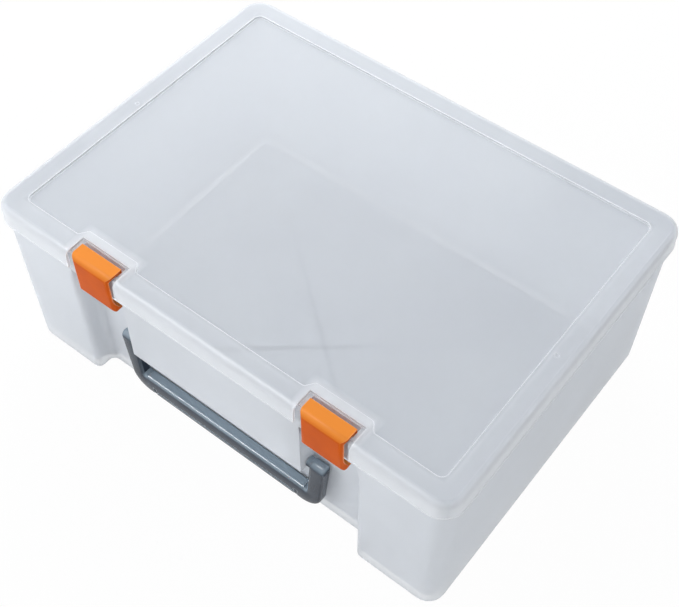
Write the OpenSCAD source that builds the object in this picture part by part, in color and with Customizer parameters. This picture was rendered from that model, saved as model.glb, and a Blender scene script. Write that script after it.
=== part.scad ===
// Photo keeper case: a translucent moulded box with a hinged lid, two swing latches and a bail handle.
// Millimetres. Origin at the centre of the base, +Z up, the latches and the handle face -Y.
// Each wall is lofted from plan outlines, so it leans, rounds over and steps as the moulding does.

/* [Case] */
// Outside length of the lid, left to right
lid_len = 370; // [330:1:420]
// Outside width of the lid, front to back
lid_wid = 270; // [245:1:300]
// Height of the closed case, from the base to the lid's rim
case_h = 141.5; // [136:0.5:165]
// Thickness of the tub and lid walls
wall = 2; // [1.8:0.1:2.4]

/* [Lid] */
// Plan radius of the lid's corners
lid_r = 16; // [12:1:20]
// Height of the skirt, from the rim down to its lower edge
skirt_h = 15; // [14:0.5:17]
// Radius of the lid's top outer edge
lid_edge_r = 4.5; // [3:0.5:5]
// Width of the rim round the sunk panel
rim_w = 17; // [16:0.2:19]
// Depth of the panel below the rim
panel_drop = 1.5; // [0.8:0.1:2]
// Corner radius of the panel
panel_r = 5; // [3:0.5:8]
// How far the panel's edge steps back behind each latch
jog_depth = 6.3; // [4:0.1:8]
// Height of the bead round the skirt's lower edge
bead_h = 1.6; // [1:0.2:2.4]
// How far that bead stands out
bead_out = 0.4; // [0.2:0.1:0.6]

/* [Tub] */
// Gap between the tub's outside and the skirt's inside
skirt_gap = 0.7; // [0.6:0.1:1]
// Plan radius of the tub's corners
tub_r = 13; // [10:1:15]
// How far each tub wall leans outwards from base to rim
draft = 1; // [0.4:0.1:1.5]
// Radius of the edge round the base
base_edge_r = 3; // [2:0.5:4]
// Radius between the floor and the walls, inside
floor_edge_r = 6; // [4:0.5:8]
// Height of the foot ring below the floor panel
foot_h = 1.5; // [1:0.1:2.5]
// Width of the foot ring
foot_w = 10; // [8:0.5:12]
// Half width of the recess in the front wall
recess_hw = 117.5; // [114:0.5:130]
// Depth of the recess in the front wall
recess_depth = 14.5; // [14:0.5:17]
// Height at which the recess starts to lean out to the rim
recess_top = 104.5; // [101:0.5:106]
// Radius of the recess's corners
recess_fillet = 5; // [3:0.5:6]
// How far the rim above the recess stays behind the feet
rim_relief = 0.4; // [0.3:0.1:0.8]

/* [Latches] */
// Distance of each latch from the middle
latch_x = 93.6; // [92:0.2:95]
// Width of a latch
latch_w = 34.4; // [30:0.2:36]
// Thickness of a latch
latch_t = 1.8; // [1.6:0.1:2]
// Height of a latch, from its flange to its hook
latch_h = 34.8; // [33:0.2:36]
// Outer radius of a latch's bend
latch_bend_r = 5; // [4:0.2:5.2]
// Plan radius of a latch's front corners
latch_corner_r = 5; // [3:0.5:6]
// Outer radius under a latch's hook
hook_r = 4.5; // [3:0.5:5]
// Radius inside a latch's hook
hook_inner_r = 14; // [12:0.5:16]
// Depth of a latch's top flange, from its front face to its back edge
flange_d = 12.6; // [12.2:0.1:13.4]
// Length of the hook's lip, from the front face
lip_d = 7.8; // [7.2:0.1:8.4]
// Radius of a latch's hinge barrel
barrel_r = 2.2; // [2:0.1:2.4]
// Radius of a latch's hinge pins
latch_pin_r = 1.4; // [1.2:0.1:1.6]
// Length of a latch's hinge pins
latch_pin_l = 2.8; // [2:0.1:3.2]
// How far a latch stands above the rim
latch_proud = 0.3; // [0.1:0.1:0.6]
// Gap between a latch's ends and the lid
latch_gap = 3.5; // [3:0.1:4]
// Clearance between a hook's lip and its catch
catch_gap = 0.4; // [0.3:0.1:0.8]

/* [Handle] */
// Width across the handle at its pivots
handle_w = 176.6; // [170:0.2:182]
// How much narrower each side of the handle is at the grip
handle_taper = 3.8; // [2:0.2:5]
// Width of the arms
arm_w = 12.1; // [11:0.1:13]
// Thickness of the handle, front to back
handle_t = 8.6; // [8:0.1:9]
// Height of the grip bar
grip_h = 16.8; // [14:0.2:18]
// Height of the pivots above the base
pivot_z = 64.4; // [60:0.2:68]
// Distance from the pivots to the grip's lower edge
handle_reach = 51.8; // [49:0.2:54]
// Outer radius of the handle's lower corners
handle_corner_r = 17.5; // [17:0.5:19]
// Radius rounding the handle's long edges
handle_edge_r = 2.2; // [1.5:0.1:2.6]
// Radius of the collars between the arms and their brackets
collar_r = 3.8; // [3.4:0.1:3.9]
// Length of those collars
collar_l = 2.6; // [2:0.1:3.2]
// Radius of the handle's pivot pins
handle_pin_r = 2.2; // [1.8:0.1:2.5]
// How far the two brackets stand out of the recess
bracket_d = 13.5; // [13:0.1:14]
// Width of each bracket
bracket_w = 10.5; // [9:0.5:12]

/* [Hinge] */
// Distance of each lid hinge from the middle
hinge_x = 105; // [60:1:125]
// Radius of the lid's hinge pins
hinge_pin_r = 2; // [1.6:0.1:2.2]
// Radius of the hinge knuckles
knuckle_r = 4; // [3.8:0.1:4.2]
// Width of the lid's knuckles
knuckle_w = 24; // [16:1:34]
// Width of the tub's hinge lugs
lug_w = 4; // [3:0.5:6]

/* [Fits] */
// Radial clearance round every pin
pin_gap = 0.08; // [0.02:0.01:0.1]
// Clearance between faces that pass each other
side_gap = 0.4; // [0.3:0.1:0.6]
// Gap between the tub's rim and the lid
seat_gap = 0.2; // [0.1:0.1:0.4]

/* [Hidden] */
frost = [0.84, 0.87, 0.92, 0.6];
lid_frost = [0.88, 0.91, 0.95, 0.5];
orange = [0.90, 0.45, 0.10];
slate = [0.38, 0.42, 0.47];
$fn = 48;
arc_steps = 6;
fillet_steps = 4;
past = 1;
sink = 0.2;

// Lid levels and half sizes
lid_hx = lid_len / 2;
lid_hy = lid_wid / 2;
skirt_z = case_h - skirt_h;
rim_under = case_h - wall;
panel_z = case_h - panel_drop;
panel_under = panel_z - wall;
panel_hx = lid_hx - rim_w;
panel_hy = lid_hy - rim_w;

// Tub levels and half sizes, at the rim and at the base
tub_h = rim_under - seat_gap;
tub_hx = lid_hx - bead_out - wall - skirt_gap;
tub_hy = lid_hy - bead_out - wall - skirt_gap;
base_hx = tub_hx - draft;
base_hy = tub_hy - draft;
floor_z = foot_h + wall;
recess_y = base_hy - recess_depth;
ledge_y = recess_y + draft * recess_top / tub_h;
ledge_z = recess_top + recess_depth - rim_relief;
ledge_rise = wall * (sqrt(2) - 1);
rim_front = tub_hy - rim_relief;

// Latch places: front face, top, hook and hinge axis
latch_front = lid_hy - 0.2;
latch_top = case_h + latch_proud;
latch_foot = latch_top - latch_h;
latch_foot_r = 2.5;
lip_r = 0.9;
barrel_drop = 0.6;
barrel_y = latch_front - flange_d + barrel_r;
barrel_z = latch_top - latch_t - barrel_drop - barrel_r;

// Lid places round each latch: an open notch in front, a shallow pocket and the hinge block under it
pocket_hw = latch_w / 2 + latch_gap;
pocket_z = latch_top - latch_t - 0.5;
pocket_back = latch_front - flange_d - 4.2;
block_hw = pocket_hw + wall;
block_front = rim_front - wall - side_gap;
block_z = barrel_z - barrel_r - side_gap - wall;
flange_swing = norm([barrel_r, latch_top - barrel_z]);
trough_back = barrel_y - flange_swing - side_gap;
trough_front = barrel_y + barrel_r + side_gap;
trough_z = barrel_z - barrel_r - side_gap;

// Bay in the tub's rim behind each latch, and the ribbed catch at its foot
bay_y = latch_front - lip_d - catch_gap;
bay_hw = latch_w / 2 + side_gap;
bay_top = block_z - 0.6;
catch_z = latch_foot + latch_t + 0.6;
catch_hw = latch_w / 2 - 3.4;
catch_top = ledge_height(bay_y) + wall;

// Handle places
wall_gap = 1.3;
handle_y = recess_y + wall_gap + handle_t / 2;
arm_in = handle_w / 2 - arm_w;
bracket_out = arm_in - collar_l - side_gap;
bracket_y = recess_y + bracket_d;
bracket_z = pivot_z - handle_pin_r - 2.2;
grip_z = pivot_z - handle_reach;

// Lid hinge axis, behind the skirt and below its edge
hinge_y = lid_hy + 3.4;
hinge_z = skirt_z - 3.6;
hinge_pin_l = lug_w - 0.6;
lug_x = knuckle_w / 2 + side_gap;
lug_drop = 12;
stop_angle = 20;

// Height of the sloping ledge's outside, at y from the middle
function ledge_height(y) = recess_top + y - ledge_y;

function unit(v) = v / norm(v);

// The corner at b between a and c, rounded with radius r in a fixed number of steps
function rounded_corner(a, b, c, r, steps) =
    let (u = unit(a - b), v = unit(c - b))
    let (half = acos(u * v) / 2)
    let (p = b + u * r / tan(half), q = b + v * r / tan(half))
    let (m = b + unit(u + v) * r / sin(half))
    let (start = atan2(p[1] - m[1], p[0] - m[0]), stop = atan2(q[1] - m[1], q[0] - m[0]))
    let (turn = stop - start, sweep = turn > 180 ? turn - 360 : turn < -180 ? turn + 360 : turn)
    [for (i = [0:steps]) m + r * [cos(start + sweep * i / steps), sin(start + sweep * i / steps)]];

// A closed outline through corners, each one [x, y, radius, steps]
function outline(corners) =
    let (n = len(corners))
    [for (i = [0:n - 1])
        let (a = corners[(i + n - 1) % n], b = corners[i], c = corners[(i + 1) % n])
        each rounded_corner([a[0], a[1]], [b[0], b[1]], [c[0], c[1]], b[2], b[3])];

// Plan of the lid, drawn in by inset
function lid_plan(inset) =
    let (hx = lid_hx - inset, hy = lid_hy - inset, r = lid_r - inset)
    outline([
        [-hx, hy, r, arc_steps * 2],
        [-hx, -hy, r, arc_steps * 2],
        [hx, -hy, r, arc_steps * 2],
        [hx, hy, r, arc_steps * 2]
    ]);

// Plan of the tub at height z, drawn in by inset: a rounded rectangle with the recess in its front
function tub_plan(z, inset, depth) =
    let (hx = base_hx + draft * z / tub_h - inset, hy = base_hy + draft * z / tub_h - inset)
    let (hw = recess_hw + inset, r = max(tub_r - inset, 1))
    let (tight = max(recess_fillet - inset, 0.3), wide = recess_fillet + inset)
    let (fit = min(1, depth / (tight + wide + 0.1)))
    outline([
        [-hx, hy, r, arc_steps],
        [-hx, -hy, r, arc_steps],
        [-hw, -hy, tight * fit, fillet_steps],
        [-hw, -hy + depth, wide * fit, fillet_steps],
        [hw, -hy + depth, wide * fit, fillet_steps],
        [hw, -hy, tight * fit, fillet_steps],
        [hx, -hy, r, arc_steps],
        [hx, hy, r, arc_steps]
    ]);

// Plan of the lid's sunk panel, drawn out by grow, stepping back behind each latch
function panel_plan(grow) =
    let (hx = panel_hx + grow, hy = panel_hy + grow, back = panel_hy - jog_depth + grow)
    let (near = pocket_hw + 0.5 - grow, far = pocket_hw + 5 - grow, r = 2.5)
    outline([
        [-hx, hy, panel_r + grow, arc_steps],
        [-hx, -hy, panel_r + grow, arc_steps],
        [-latch_x - far, -hy, r, fillet_steps],
        [-latch_x - near, -back, r, fillet_steps],
        [-latch_x + near, -back, r, fillet_steps],
        [-latch_x + far, -hy, r, fillet_steps],
        [latch_x - far, -hy, r, fillet_steps],
        [latch_x - near, -back, r, fillet_steps],
        [latch_x + near, -back, r, fillet_steps],
        [latch_x + far, -hy, r, fillet_steps],
        [hx, -hy, panel_r + grow, arc_steps],
        [hx, hy, panel_r + grow, arc_steps]
    ]);

// A solid through rings of 3D points, all with the same number of points
module loft(rings) {
    n = len(rings[0]);
    last = len(rings) - 1;
    sides = [for (k = [0:last - 1], i = [0:n - 1])
        let (a = k * n + i, b = k * n + (i + 1) % n, c = b + n, d = a + n)
        each [[a, d, c], [a, c, b]]];
    low = [[for (i = [0:n - 1]) i]];
    high = [[for (i = [0:n - 1]) last * n + n - 1 - i]];
    polyhedron(points = [for (ring = rings) each ring], faces = concat(low, sides, high));
}

function at_height(plan, z) = [for (p = plan) [p[0], p[1], z]];

// Quarter-round steps of radius r, as [inset, height] pairs from the flat face to the upright one
function round_over(r, steps) =
    [for (i = [0:steps]) let (a = 90 * i / steps) [r * (1 - sin(a)), r * (1 - cos(a))]];

function tub_ring(z, inset, depth) = at_height(tub_plan(z, inset, depth), z);

// The tub's whole wall as one loft: under the foot ring, up the outside, over the rim and down the inside
module tub_shell() {
    base_round = round_over(base_edge_r, 4);
    floor_round = round_over(floor_edge_r, 4);
    loft([
        tub_ring(foot_h, foot_w, recess_depth),
        tub_ring(0, foot_w, recess_depth),
        for (s = base_round) tub_ring(s[1], s[0], recess_depth),
        tub_ring(recess_top, 0, recess_depth),
        tub_ring(ledge_z, 0, rim_relief),
        tub_ring(tub_h, 0, rim_relief),
        tub_ring(tub_h, wall, rim_relief),
        tub_ring(ledge_z + ledge_rise, wall, rim_relief),
        tub_ring(recess_top + ledge_rise, wall, recess_depth),
        for (i = [len(floor_round) - 1:-1:0])
            tub_ring(floor_z + floor_round[i][1], wall + floor_round[i][0], recess_depth)
    ]);
}

// Lining that closes the tub's wall behind and beside one latch's bay
module bay_lining() {
    back = bay_y - wall;
    front = rim_front - wall / 2;
    translate([-bay_hw - wall, 0, 0])
        rotate([90, 0, 90])
            linear_extrude(height = 2 * (bay_hw + wall))
                polygon([
                    [-back, ledge_height(back) + wall / 2],
                    [-back, bay_top],
                    [-front, bay_top],
                    [-front, ledge_height(front) + wall / 2]
                ]);
}

// One of the two ribbed catches below the rim, under a latch
module latch_catch() {
    translate([-catch_hw, -bay_y, catch_z])
        cube([2 * catch_hw, wall, catch_top - catch_z]);
    for (x = [-catch_hw, -1, catch_hw - 2])
        translate([x, 0, 0])
            rotate([90, 0, 90])
                linear_extrude(height = 2)
                    polygon([
                        [-recess_y - sink, catch_z - 8],
                        [-bay_y + wall / 2, catch_z],
                        [-bay_y + wall / 2, ledge_height(bay_y)],
                        [-recess_y - sink, recess_top + wall / 2]
                    ]);
}

// One of the two hollow brackets that carry the handle, standing out of the recess
module handle_bracket() {
    top = ledge_height(bracket_y) + wall / 2;
    core_w = bracket_w - 2 * wall - 0.4;
    difference() {
        translate([-bracket_out, 0, 0])
            rotate([90, 0, 90])
                linear_extrude(height = bracket_w)
                    polygon([
                        [-recess_y - sink, bracket_z],
                        [-bracket_y + 1, bracket_z],
                        [-bracket_y, bracket_z + 1],
                        [-bracket_y, top],
                        [-recess_y - sink, recess_top + wall / 2]
                    ]);
        translate([-bracket_out + wall + 0.2, 0, 0])
            rotate([90, 0, 90])
                linear_extrude(height = core_w)
                    polygon([
                        [-recess_y - draft, bracket_z - past],
                        [-bracket_y + wall, bracket_z - past],
                        [-bracket_y + wall, top - 2 * wall],
                        [-recess_y - draft, recess_top - wall]
                    ]);
        translate([-bracket_out - past, -handle_y, pivot_z])
            rotate([0, 90, 0])
                cylinder(r = handle_pin_r + pin_gap, h = wall + 2 * past);
    }
}

// One of the tub's hinge lugs, with the bore for the lid's pin
module hinge_lug() {
    difference() {
        union() {
            translate([0, hinge_y, hinge_z])
                rotate([0, 90, 0])
                    cylinder(r = knuckle_r, h = lug_w);
            rotate([90, 0, 90])
                linear_extrude(height = lug_w)
                    polygon([
                        [tub_hy - draft - sink, hinge_z - lug_drop],
                        [hinge_y + 0.5, hinge_z - knuckle_r + 0.1],
                        [hinge_y, hinge_z],
                        [hinge_y - knuckle_r, hinge_z + 2],
                        [tub_hy - draft - sink, hinge_z + 2]
                    ]);
        }
        translate([-past, hinge_y, hinge_z])
            rotate([0, 90, 0])
                cylinder(r = hinge_pin_r + pin_gap, h = lug_w + 2 * past);
    }
}

module tub() {
    color(frost) {
        difference() {
            union() {
                tub_shell();
                for (side = [-1, 1])
                    translate([side * latch_x, 0, 0]) bay_lining();
            }
            for (side = [-1, 1])
                translate([side * latch_x - bay_hw, -lid_hy, recess_top])
                    cube([2 * bay_hw, lid_hy - bay_y, case_h - recess_top]);
        }
        for (side = [-1, 1]) {
            translate([side * latch_x, 0, 0]) latch_catch();
            mirror([side > 0 ? 1 : 0, 0, 0]) handle_bracket();
            translate([side * hinge_x + lug_x, 0, 0]) hinge_lug();
            translate([side * hinge_x - lug_x - lug_w, 0, 0]) hinge_lug();
        }
    }
}

function lid_ring(z, inset) = at_height(lid_plan(inset), z);

// The lid's whole wall as one loft: down the inside of the skirt, round the bead, up and over to the rim
module lid_shell() {
    top_round = round_over(lid_edge_r, 4);
    loft([
        lid_ring(rim_under, bead_out + wall),
        lid_ring(skirt_z, bead_out + wall),
        lid_ring(skirt_z, 0.3),
        lid_ring(skirt_z + 0.3, 0),
        lid_ring(skirt_z + bead_h - bead_out, 0),
        lid_ring(skirt_z + bead_h, bead_out),
        for (i = [len(top_round) - 1:-1:0]) lid_ring(case_h - top_round[i][1], bead_out + top_round[i][0])
    ]);
}

// One of the lid's hinge knuckles: barrel, web up to the skirt, stop heel and two pins
module lid_knuckle() {
    half = knuckle_w / 2;
    web_low = hinge_pin_r + 0.6;
    web_top = skirt_z + bead_h + 0.6;
    web_d = hinge_y - lid_hy + bead_out + wall / 2;
    translate([-half, hinge_y, hinge_z])
        rotate([0, 90, 0])
            cylinder(r = knuckle_r, h = knuckle_w);
    translate([1 - half, lid_hy - bead_out - wall / 2, hinge_z + web_low])
        cube([knuckle_w - 2, web_d, web_top - hinge_z - web_low]);
    translate([1 - half, hinge_y, hinge_z])
        rotate([stop_angle, 0, 0])
            translate([0, -wall / 2, -knuckle_r - 2])
                cube([knuckle_w - 2, wall, 3]);
    translate([-lug_x - hinge_pin_l, hinge_y, hinge_z])
        rotate([0, 90, 0])
            cylinder(r = hinge_pin_r, h = 2 * (lug_x + hinge_pin_l));
}

// The space that one latch takes out of the lid: notch, pocket, trough and pin holes
module latch_space() {
    translate([-pocket_hw, -lid_hy - past, skirt_z - past])
        cube([2 * pocket_hw, lid_hy + past - block_front, skirt_h + 2 * past]);
    translate([-pocket_hw, -block_front - past, pocket_z])
        cube([2 * pocket_hw, block_front + past - pocket_back, case_h]);
    translate([-latch_w / 2 - side_gap, -trough_front, trough_z])
        cube([latch_w + 2 * side_gap, trough_front - trough_back, case_h]);
    bore = latch_w / 2 + latch_pin_l + side_gap;
    translate([-bore, -barrel_y, barrel_z])
        rotate([0, 90, 0])
            cylinder(r = latch_pin_r + pin_gap, h = 2 * bore);
}

module lid() {
    dimple_r = 1.5;
    dimple_in = 12;
    dimple_y = 8;
    color(lid_frost) {
        difference() {
            union() {
                lid_shell();
                translate([0, 0, panel_under])
                    linear_extrude(height = rim_under - panel_under + sink)
                        polygon(panel_plan(wall));
                for (side = [-1, 1])
                    translate([side * latch_x - block_hw, -block_front, block_z])
                        cube([2 * block_hw, block_front - pocket_back + wall, case_h - block_z - wall / 2]);
            }
            translate([0, 0, panel_z])
                linear_extrude(height = panel_drop + past)
                    polygon(panel_plan(0));
            for (side = [-1, 1]) {
                translate([side * latch_x, 0, 0]) latch_space();
                translate([side * (lid_hx - dimple_in), -dimple_y, case_h - 0.3]) cylinder(r = dimple_r, h = past);
            }
        }
        for (side = [-1, 1])
            translate([side * hinge_x, 0, 0]) lid_knuckle();
    }
}

// Quarter ring of outer radius r and wall t, about its own centre, towards -y and up
module quarter_ring(r, t) {
    difference() {
        intersection() {
            circle(r = r);
            translate([-r, 0]) square(r);
        }
        circle(r = r - t);
    }
}

// Side view of a latch, y and z: flange, bend, front plate, hinge barrel and a hook that thickens to its lip
module latch_profile() {
    face = -latch_front;
    tip = face + lip_d;
    hook_top = latch_foot + hook_inner_r - 1;
    translate([face + latch_bend_r, latch_top - latch_t])
        square([flange_d - latch_bend_r, latch_t]);
    translate([face + latch_bend_r, latch_top - latch_bend_r])
        quarter_ring(latch_bend_r, latch_t);
    translate([face, hook_top - sink])
        square([latch_t, latch_top - latch_bend_r - hook_top + sink]);
    difference() {
        translate([face, latch_foot])
            square([lip_d, hook_top - latch_foot]);
        translate([face + latch_t + hook_inner_r, hook_top])
            circle(r = hook_inner_r);
        translate([face, latch_foot])
            difference() {
                translate([-past, -past]) square(hook_r + past);
                translate([hook_r, hook_r]) circle(r = hook_r);
            }
        translate([tip - lip_r, latch_foot])
            difference() {
                translate([0, -past]) square([lip_r + past, lip_r + past]);
                translate([0, lip_r]) circle(r = lip_r);
            }
    }
    translate([-barrel_y, barrel_z])
        square([barrel_r, latch_top - latch_t / 2 - barrel_z]);
    translate([-barrel_y, barrel_z])
        circle(r = barrel_r);
}

// Plan of a latch, with rounded front corners
module latch_plan() {
    hw = latch_w / 2;
    flat = hw - latch_corner_r;
    translate([-hw, -latch_front + latch_corner_r])
        square([latch_w, flange_d]);
    translate([-flat, -latch_front])
        square([2 * flat, flange_d]);
    for (side = [-1, 1])
        translate([side * flat, -latch_front + latch_corner_r]) circle(r = latch_corner_r);
}

// Front view of a latch, with rounded lower corners
module latch_face() {
    hw = latch_w / 2;
    flat = hw - latch_foot_r;
    translate([-hw, latch_foot + latch_foot_r])
        square([latch_w, latch_h]);
    translate([-flat, latch_foot - past])
        square([2 * flat, latch_h]);
    for (side = [-1, 1])
        translate([side * flat, latch_foot + latch_foot_r]) circle(r = latch_foot_r);
}

// One latch about x = 0: side view, plan and front view cut from each other, and its two pins
module latch() {
    color(orange) {
        intersection() {
            translate([-latch_w / 2, 0, 0])
                rotate([90, 0, 90])
                    linear_extrude(height = latch_w)
                        latch_profile();
            translate([0, 0, latch_foot - past])
                linear_extrude(height = latch_h + 2 * past)
                    latch_plan();
            translate([0, past - latch_front + flange_d, 0])
                rotate([90, 0, 0])
                    linear_extrude(height = flange_d + 2 * past)
                        latch_face();
        }
        translate([-latch_w / 2 - latch_pin_l, -barrel_y, barrel_z])
            rotate([0, 90, 0])
                cylinder(r = latch_pin_r, h = latch_w + 2 * latch_pin_l);
    }
}

module latch_left() {
    translate([-latch_x, 0, 0]) latch();
}

module latch_right() {
    translate([latch_x, 0, 0]) latch();
}

// Section of the handle: a rounded rectangle w across in the handle's plane
function handle_section(w) =
    let (hw = w / 2, ht = handle_t / 2, r = handle_edge_r)
    outline([[-hw, ht, r, 4], [-hw, -ht, r, 4], [hw, -ht, r, 4], [hw, ht, r, 4]]);

// A ring of the handle about point p in its plane, square to a path that heads along angle
function handle_ring(p, angle, w) =
    [for (q = handle_section(w)) [p[0] + q[0] * sin(angle), -handle_y + q[1], p[1] - q[0] * cos(angle)]];

// The handle's centre line, as [x, z, heading, width] from the left pivot round to the right one
function handle_path() =
    let (lean = atan2(handle_taper, handle_reach - grip_h / 2))
    let (r = handle_corner_r - grip_h / 2, top_x = handle_w / 2 - arm_w / 2)
    let (mid_z = grip_z + grip_h / 2, drop = pivot_z - mid_z, corner_x = top_x - drop * tan(lean))
    let (turn = 90 - lean, run = r * tan(turn / 2))
    let (start_x = corner_x + run * sin(lean), start_z = mid_z + run * cos(lean))
    let (m = [corner_x - run, mid_z + r])
    [
        [-top_x, pivot_z, -90 + lean, arm_w],
        [-start_x, start_z, -90 + lean, arm_w - 1],
        for (i = [1:7])
            let (a = -90 + lean + turn * i / 8)
            [-m[0] + r * sin(a), m[1] - r * cos(a), a, arm_w - 1 + (grip_h - arm_w + 1) * i / 8],
        [-m[0], mid_z, 0, grip_h],
        [m[0], mid_z, 0, grip_h],
        for (i = [1:7])
            let (a = turn * i / 8)
            [m[0] + r * sin(a), m[1] - r * cos(a), a, grip_h + (arm_w - 1 - grip_h) * i / 8],
        [start_x, start_z, 90 - lean, arm_w - 1],
        [top_x, pivot_z, 90 - lean, arm_w]
    ];

// One end of the handle about its pivot axis: rounded head, collar and pin
module handle_end() {
    head_r = handle_t / 2;
    edge = handle_edge_r;
    pin_end = bracket_out - wall - 2.6;
    translate([arm_in, -handle_y, pivot_z])
        rotate([0, 90, 0])
            rotate_extrude() {
                square([head_r - edge, arm_w]);
                translate([0, edge]) square([head_r, arm_w - 2 * edge]);
                for (x = [edge, arm_w - edge])
                    translate([head_r - edge, x]) intersection() {
                        circle(r = edge);
                        translate([0, -edge]) square([edge, 2 * edge]);
                    }
            }
    translate([arm_in - collar_l, -handle_y, pivot_z])
        rotate([0, 90, 0])
            cylinder(r = collar_r, h = collar_l + edge);
    translate([pin_end, -handle_y, pivot_z])
        rotate([0, 90, 0])
            cylinder(r = handle_pin_r, h = arm_in - pin_end);
}

module handle() {
    channel_hx = handle_w / 2 - handle_taper - handle_corner_r - 3;
    channel_t = 4;
    channel_h = 10;
    groove_z = 3.4;
    groove_h = 2;
    groove_d = 0.8;
    notch_h = 8;
    notch_w = 3;
    color(slate) {
        difference() {
            loft([for (s = handle_path()) handle_ring([s[0], s[1]], s[2], s[3])]);
            translate([-channel_hx, -handle_y - channel_t / 2, grip_z - past])
                cube([2 * channel_hx, channel_t, channel_h + past]);
            translate([-channel_hx, -handle_y - handle_t / 2 - past, grip_z + groove_z])
                cube([2 * channel_hx, past + groove_d, groove_h]);
            for (side = [-1, 1])
                translate([side * channel_hx - notch_w / 2, -handle_y - handle_t / 2 - past, grip_z - past])
                    cube([notch_w, past + groove_d, past + notch_h]);
        }
        for (side = [0, 1])
            mirror([side, 0, 0]) handle_end();
    }
}

tub();
lid();
latch_left();
latch_right();
handle();
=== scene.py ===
import math

import bpy
from mathutils import Matrix, Vector


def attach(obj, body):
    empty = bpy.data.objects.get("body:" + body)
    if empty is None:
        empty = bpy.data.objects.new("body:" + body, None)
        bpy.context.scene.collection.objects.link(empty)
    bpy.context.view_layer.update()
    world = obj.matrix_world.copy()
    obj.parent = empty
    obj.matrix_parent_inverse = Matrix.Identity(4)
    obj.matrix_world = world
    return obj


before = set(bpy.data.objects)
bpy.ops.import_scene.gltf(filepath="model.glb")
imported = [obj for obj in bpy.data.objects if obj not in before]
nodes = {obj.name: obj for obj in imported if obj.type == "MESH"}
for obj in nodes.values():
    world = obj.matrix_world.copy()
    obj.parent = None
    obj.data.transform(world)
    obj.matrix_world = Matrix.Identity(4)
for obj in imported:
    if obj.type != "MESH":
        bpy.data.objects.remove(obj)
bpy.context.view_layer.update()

# Half the lid's panel and the latches' distance from the middle, in metres, as in part.scad
PANEL_HALF_X, PANEL_HALF_Y = 0.168, 0.118
LATCH_X = 0.0936
# The tub's upward faces below this height get painted shade, a darker colour on its floor
SHADED_FLOOR_TOP = 0.03

SMOOTH_DEGREES = 32
LEVEL_NORMAL = 0.999
WELD_DISTANCE = 5e-6

PHOTO_WIDTH = 679
FOCAL_PIXELS = 1178.926
SENSOR_WIDTH = 36.0


def smooth_group(degrees):
    """Geometry nodes that shade smooth across edges flatter than this, and keep level faces flat."""
    group = bpy.data.node_groups.new("smooth by angle", "GeometryNodeTree")
    group.interface.new_socket("Geometry", in_out="INPUT", socket_type="NodeSocketGeometry")
    group.interface.new_socket("Geometry", in_out="OUTPUT", socket_type="NodeSocketGeometry")
    add, link = group.nodes.new, group.links.new

    def shade(domain, smooth_it):
        node = add("GeometryNodeSetShadeSmooth")
        node.domain = domain
        node.inputs["Shade Smooth"].default_value = smooth_it
        return node

    def greater_than(limit):
        node = add("FunctionNodeCompare")
        node.data_type = "FLOAT"
        node.operation = "GREATER_THAN"
        node.inputs["B"].default_value = limit
        return node

    drop_normals = add("GeometryNodeRemoveAttribute")
    drop_normals.inputs["Name"].default_value = "custom_normal"
    faces = shade("FACE", True)
    level = shade("FACE", False)
    edges = shade("EDGE", False)
    split = add("ShaderNodeSeparateXYZ")
    upright = add("ShaderNodeMath")
    upright.operation = "ABSOLUTE"
    is_level = greater_than(LEVEL_NORMAL)
    is_sharp = greater_than(math.radians(degrees))

    link(add("GeometryNodeInputNormal").outputs[0], split.inputs[0])
    link(split.outputs["Z"], upright.inputs[0])
    link(upright.outputs[0], is_level.inputs["A"])
    link(is_level.outputs["Result"], level.inputs["Selection"])
    link(add("GeometryNodeInputMeshEdgeAngle").outputs["Unsigned Angle"], is_sharp.inputs["A"])
    link(is_sharp.outputs["Result"], edges.inputs["Selection"])

    chain = [add("NodeGroupInput"), drop_normals, faces, level, edges, add("NodeGroupOutput")]
    for before, after in zip(chain, chain[1:]):
        link(before.outputs[0], after.inputs[0])
    return group


SMOOTH = smooth_group(SMOOTH_DEGREES)


def smooth(obj, bevel=0.0):
    """Joins the faces along their edges and shades the shallow ones smooth; bevel rounds sharp edges."""
    weld = obj.modifiers.new("weld", "WELD")
    weld.merge_threshold = WELD_DISTANCE
    if bevel:
        round_edges = obj.modifiers.new("bevel", "BEVEL")
        round_edges.width = bevel
        round_edges.segments = 2
        round_edges.limit_method = "ANGLE"
        round_edges.angle_limit = math.radians(35)
        round_edges.use_clamp_overlap = True
    shade = obj.modifiers.new("smooth", "NODES")
    shade.node_group = SMOOTH


def local(tree, output, part):
    """One part of a vector in the piece's own axes: of its "Object" place or its "Normal"."""
    split = tree.nodes.new("ShaderNodeSeparateXYZ")
    tree.links.new(tree.nodes.new("ShaderNodeTexCoord").outputs[output], split.inputs[0])
    return split.outputs[part]


def maths(tree, operation, first, second=None):
    """A Math node whose inputs are numbers or sockets."""
    node = tree.nodes.new("ShaderNodeMath")
    node.operation = operation
    for socket, value in zip(node.inputs, (first, second)):
        if isinstance(value, (int, float)):
            socket.default_value = value
        elif value is not None:
            tree.links.new(value, socket)
    return node.outputs[0]


def remap(tree, value, start, end, low=0.0, high=1.0):
    """Goes from low, at start, to high, at end, and stays level beyond them."""
    node = tree.nodes.new("ShaderNodeMapRange")
    for name, number in (("From Min", start), ("From Max", end), ("To Min", low), ("To Max", high)):
        node.inputs[name].default_value = number
    tree.links.new(value, node.inputs["Value"])
    return node.outputs["Result"]


def noise(tree, scale, detail):
    """Noise over the piece's own place."""
    node = tree.nodes.new("ShaderNodeTexNoise")
    node.inputs["Scale"].default_value = scale
    node.inputs["Detail"].default_value = detail
    tree.links.new(tree.nodes.new("ShaderNodeTexCoord").outputs["Object"], node.inputs["Vector"])
    return node.outputs["Fac"]


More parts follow.
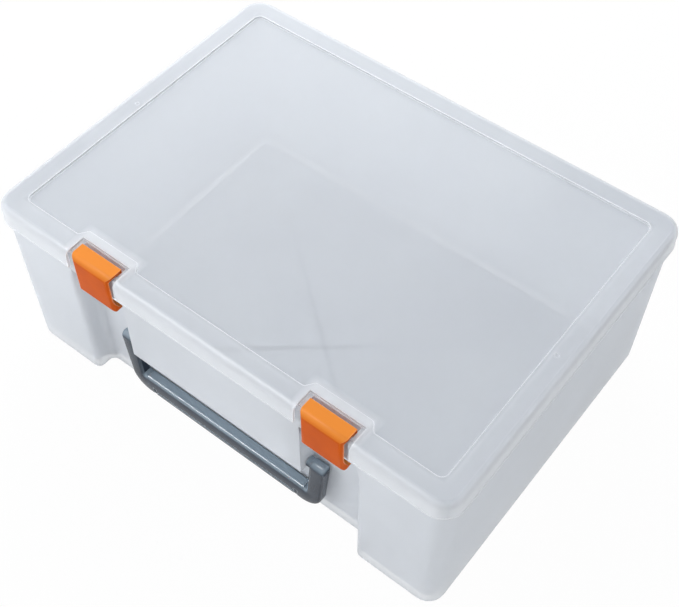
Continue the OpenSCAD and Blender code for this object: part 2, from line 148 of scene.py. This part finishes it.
def tint(mat, share, colour):
    """Mixes colour into the shader's base colour."""
    tree = mat.node_tree
    base = tree.nodes["Principled BSDF"].inputs["Base Color"]
    mix = tree.nodes.new("ShaderNodeMix")
    mix.data_type = "RGBA"
    mix.inputs["B"].default_value = (*colour, 1)
    tree.links.new(share, mix.inputs["Factor"])
    tree.links.new(base.links[0].from_socket, mix.inputs["A"])
    tree.links.new(mix.outputs["Result"], base)


def plastic(name, low, high, rough, scale, bump, bump_scale=900.0, **sockets):
    """A plastic whose colour and roughness drift a little, with a fine grain; sockets are plain numbers."""
    mat = bpy.data.materials.new(name)
    mat.use_nodes = True
    tree = mat.node_tree
    shader = tree.nodes["Principled BSDF"]
    drift = noise(tree, scale, 4)
    ramp = tree.nodes.new("ShaderNodeValToRGB")
    for stop, place, colour in zip(ramp.color_ramp.elements, (0.35, 0.65), (low, high)):
        stop.position = place
        stop.color = (*colour, 1)
    tree.links.new(drift, ramp.inputs["Fac"])
    tree.links.new(ramp.outputs["Color"], shader.inputs["Base Color"])
    tree.links.new(remap(tree, drift, 0.0, 1.0, *rough), shader.inputs["Roughness"])
    grain = tree.nodes.new("ShaderNodeBump")
    grain.inputs["Strength"].default_value = bump
    grain.inputs["Distance"].default_value = 0.0002
    tree.links.new(noise(tree, bump_scale, 2), grain.inputs["Height"])
    tree.links.new(grain.outputs["Normal"], shader.inputs["Normal"])
    for key, value in sockets.items():
        shader.inputs[key.replace("_", " ")].default_value = value
    return mat


def paint_upward_sheen_and_shade(mat, colour, amount, below=None):
    """Mixes colour into the faces that look up, and where below is given only under that height: a lighter
    colour is painted sheen, a darker one painted shade.
    """
    tree = mat.node_tree
    share = remap(tree, local(tree, "Normal", "Z"), 0.1, 0.8, high=amount)
    if below is not None:
        low = remap(tree, local(tree, "Object", "Z"), below, below - 0.006)
        share = maths(tree, "MULTIPLY", share, low)
    tint(mat, share, colour)


def rim_share(tree, half_x, half_y, levels):
    """A share that grows outside a rectangle, by levels: pairs of distance in metres and share."""
    past_x = maths(tree, "SUBTRACT", maths(tree, "ABSOLUTE", local(tree, "Object", "X")), half_x)
    past_y = maths(tree, "SUBTRACT", maths(tree, "ABSOLUTE", local(tree, "Object", "Y")), half_y)
    past = maths(tree, "MAXIMUM", past_x, past_y)
    share = 0.0
    for (start, low), (end, high) in zip(levels, levels[1:]):
        share = maths(tree, "ADD", remap(tree, past, start, end, high=high - low), share)
    return share


def latch_share(tree, latch_x, top):
    """A share of top over the part of the lid round each latch."""
    aside = maths(tree, "SUBTRACT", maths(tree, "ABSOLUTE", local(tree, "Object", "X")), latch_x)
    near = remap(tree, maths(tree, "ABSOLUTE", aside), 0.027, 0.021, high=top)
    front = remap(tree, local(tree, "Object", "Y"), -0.106, -0.112)
    return maths(tree, "MULTIPLY", near, front)


def paint_edge_highlight(mat, radius, glow, gain, more=None):
    """Paints a highlight on edges, found where the bevelled normal leaves the true one, and makes clear ones
    less so; more is a further share of painted light.
    """
    tree = mat.node_tree
    shader = tree.nodes["Principled BSDF"]
    bent = tree.nodes.new("ShaderNodeBevel")
    bent.samples = 6
    bent.inputs["Radius"].default_value = radius
    turn = tree.nodes.new("ShaderNodeVectorMath")
    turn.operation = "DOT_PRODUCT"
    tree.links.new(tree.nodes.new("ShaderNodeNewGeometry").outputs["Normal"], turn.inputs[0])
    tree.links.new(bent.outputs["Normal"], turn.inputs[1])
    share = remap(tree, turn.outputs["Value"], 1.0, 0.75, high=gain)
    if more is not None:
        share = maths(tree, "MAXIMUM", share, more)
    tint(mat, share, glow)
    alpha = shader.inputs["Alpha"]
    if alpha.default_value < 1.0:
        tree.links.new(remap(tree, share, 0.0, 1.0, low=alpha.default_value), alpha)


TUB = plastic("frosted tub", (0.80, 0.83, 0.87), (0.84, 0.87, 0.91), (0.42, 0.5), 14.0, 0.15,
              Transmission_Weight=0.2, IOR=1.25, Alpha=0.72)
LID = plastic("frosted lid", (0.82, 0.85, 0.895), (0.85, 0.88, 0.92), (0.30, 0.38), 12.0, 0.08,
              Transmission_Weight=0.15, IOR=1.25, Alpha=0.42)
ORANGE = plastic("orange latch", (0.56, 0.085, 0.001), (0.62, 0.10, 0.002), (0.36, 0.44), 60.0, 0.08,
                 Specular_IOR_Level=0.05)
SLATE = plastic("slate handle", (0.024, 0.034, 0.052), (0.036, 0.050, 0.072), (0.14, 0.20), 90.0,
                0.2, 1600.0, Specular_IOR_Level=0.14)

# Tone that the photograph shows and the lamps here don't give is in the colours.
# Painted highlight: the tub's edges are lightened and made less clear.
paint_edge_highlight(TUB, 0.0012, (0.93, 0.95, 0.98), 0.35)
# Painted shade: the tub's floor inside is darker than its walls.
paint_upward_sheen_and_shade(TUB, (0.44, 0.47, 0.52), 0.85, SHADED_FLOOR_TOP)
# Painted sheen: the latches' upper faces are lighter than their sides.
paint_upward_sheen_and_shade(ORANGE, (1.0, 0.33, 0.05), 0.92)
# Painted sheen: the handle's upper faces are much lighter than its sides.
paint_upward_sheen_and_shade(SLATE, (0.33, 0.41, 0.48), 0.85)
# Painted highlight along the latches' edges and front bend.
paint_edge_highlight(ORANGE, 0.0012, (1.0, 0.55, 0.32), 0.5)
# Painted highlight along the handle's edges, the bright line along the grip.
paint_edge_highlight(SLATE, 0.0008, (0.75, 0.82, 0.88), 0.9)
# Painted light: the lid's rim and skirt, and the lid round each latch, are lighter and less clear, on top of
# its painted edge highlight.
rim_light_levels = ((0.0, 0.0), (0.002, 0.08), (0.011, 0.08), (0.016, 0.45))
rim_latch_light = maths(LID.node_tree, "MAXIMUM", latch_share(LID.node_tree, LATCH_X, 0.5),
               rim_share(LID.node_tree, PANEL_HALF_X, PANEL_HALF_Y, rim_light_levels))
paint_edge_highlight(LID, 0.0020, (0.97, 0.98, 1.0), 1.0, rim_latch_light)


def paint(obj, mat):
    obj.data.materials.clear()
    obj.data.materials.append(mat)


for node_name, node_mat, node_bevel in (("tub", TUB, 0.0), ("lid", LID, 0.0), ("latch_left", ORANGE, 0.0004),
                                        ("latch_right", ORANGE, 0.0004), ("handle", SLATE, 0.0)):
    paint(nodes[node_name], node_mat)
    smooth(nodes[node_name], node_bevel)


def plate(name, low, high, mat, body):
    """A thin upright plate between two corners, with softened edges."""
    x, y, z = ((low[i], high[i]) for i in range(3))
    corners = [(x[i], y[j], z[k]) for i in (0, 1) for j in (0, 1) for k in (0, 1)]
    faces = [(0, 1, 3, 2), (4, 6, 7, 5), (0, 4, 5, 1), (2, 3, 7, 6), (0, 2, 6, 4), (1, 5, 7, 3)]
    mesh = bpy.data.meshes.new(name)
    mesh.from_pydata(corners, [], faces)
    obj = bpy.data.objects.new(name, mesh)
    bpy.context.collection.objects.link(obj)
    paint(obj, mat)
    soft = obj.modifiers.new("bevel", "BEVEL")
    soft.width = 0.0004
    soft.segments = 3
    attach(obj, body)


# The tub's front is one panel from bracket to bracket, so a thin plate joins the two brackets' faces.
plate("front_panel", (-0.0732, -0.1302, 0.0600), (0.0732, -0.1290, 0.1178), TUB, "case")


def seen(tree, share):
    """share where the ray comes from the camera, off a gloss or through plastic, and 0 for the rest."""
    path = tree.nodes.new("ShaderNodeLightPath").outputs
    either = maths(tree, "MAXIMUM", path["Is Camera Ray"], path["Is Transmission Ray"])
    either = maths(tree, "MAXIMUM", either, path["Is Glossy Ray"])
    return maths(tree, "MULTIPLY", either, share)


def seen_mix(tree, share, unseen, shown, output):
    """Gives the output two shaders: shown where a ray sees it, up to share, and unseen for the rest."""
    mix = tree.nodes.new("ShaderNodeMixShader")
    tree.links.new(seen(tree, share), mix.inputs[0])
    tree.links.new(unseen.outputs[0], mix.inputs[1])
    tree.links.new(shown.outputs[0], mix.inputs[2])
    tree.links.new(mix.outputs[0], tree.nodes.new(output).inputs[0])


def floor_material():
    """A white floor that keeps the case's shadow: mostly its own white when seen, diffuse to the light."""
    mat = bpy.data.materials.new("white floor")
    mat.use_nodes = True
    tree = mat.node_tree
    tree.nodes.clear()
    diffuse = tree.nodes.new("ShaderNodeBsdfDiffuse")
    diffuse.inputs["Color"].default_value = (0.9, 0.9, 0.9, 1)
    white = tree.nodes.new("ShaderNodeEmission")
    white.inputs["Strength"].default_value = 1.0
    seen_mix(tree, 0.97, diffuse, white, "ShaderNodeOutputMaterial")
    return mat


def background(tree, colour, strength):
    node = tree.nodes.new("ShaderNodeBackground")
    node.inputs["Color"].default_value = (*colour, 1)
    node.inputs["Strength"].default_value = strength
    return node


bpy.ops.mesh.primitive_plane_add(size=6.0, location=(0, 0, 0))
floor = bpy.context.object
floor.name = "floor"
floor.data.materials.append(floor_material())

world = bpy.data.worlds.new("room")
bpy.context.scene.world = world
world.use_nodes = True
world.node_tree.nodes.clear()
seen_mix(world.node_tree, 1.0, background(world.node_tree, (0.93, 0.96, 1.0), 0.50),
         background(world.node_tree, (1, 1, 1), 1.0), "ShaderNodeOutputWorld")


def area(name, place, target, size, watts):
    """An area lamp of size (along, across), aimed at target, its long side level with X."""
    light = bpy.data.lights.new(name, "AREA")
    light.shape = "RECTANGLE"
    light.size, light.size_y = size
    light.energy = watts
    obj = bpy.data.objects.new(name, light)
    bpy.context.collection.objects.link(obj)
    back = (Vector(place) - Vector(target)).normalized()
    along = (Vector((1, 0, 0)) - back * back.x).normalized()
    across = back.cross(along)
    turn = Matrix((along, across, back)).transposed().to_4x4()
    obj.matrix_world = Matrix.Translation(place) @ turn
    return obj


area("key", (-0.6, 0.64, 0.72), (0, 0, 0.1), (0.9, 0.9), 9.3)
area("front", (-0.9, -1.0, 0.5), (0, 0, 0.1), (0.9, 0.9), 7.8)
fill = area("fill", (1.15, -0.85, 0.35), (0, 0, 0.06), (0.8, 0.8), 3.5)
fill.data.color = (1.0, 0.96, 0.9)
# The glint is a narrow lamp for the line along the grip; it lights nothing diffusely.
glint = area("glint", (-0.58, -0.55, 1.35), (0, -0.124, 0.025), (0.7, 0.07), 40)
glint.visible_diffuse = False
glint.visible_transmission = False

# The camera was fitted to the photograph's straight edges; the shift is its frame's small offset.
cam = bpy.data.cameras.new("camera")
cam.sensor_fit = "HORIZONTAL"
cam.sensor_width = SENSOR_WIDTH
cam.lens = FOCAL_PIXELS / PHOTO_WIDTH * SENSOR_WIDTH
cam.shift_x = (339.5 - 343.247) / PHOTO_WIDTH
cam.shift_y = (303.718 - 303.5) / PHOTO_WIDTH
cam.clip_start = 0.05
camera = bpy.data.objects.new("camera", cam)
bpy.context.collection.objects.link(camera)
camera.matrix_world = Matrix((
    (0.787587, -0.496555, 0.364883, 0.313998),
    (0.616174, 0.628827, -0.474243, -0.400778),
    (0.006040, 0.598339, 0.801220, 0.722842),
    (0, 0, 0, 1),
))
bpy.context.scene.camera = camera
bpy.context.scene.view_settings.view_transform = "Standard"
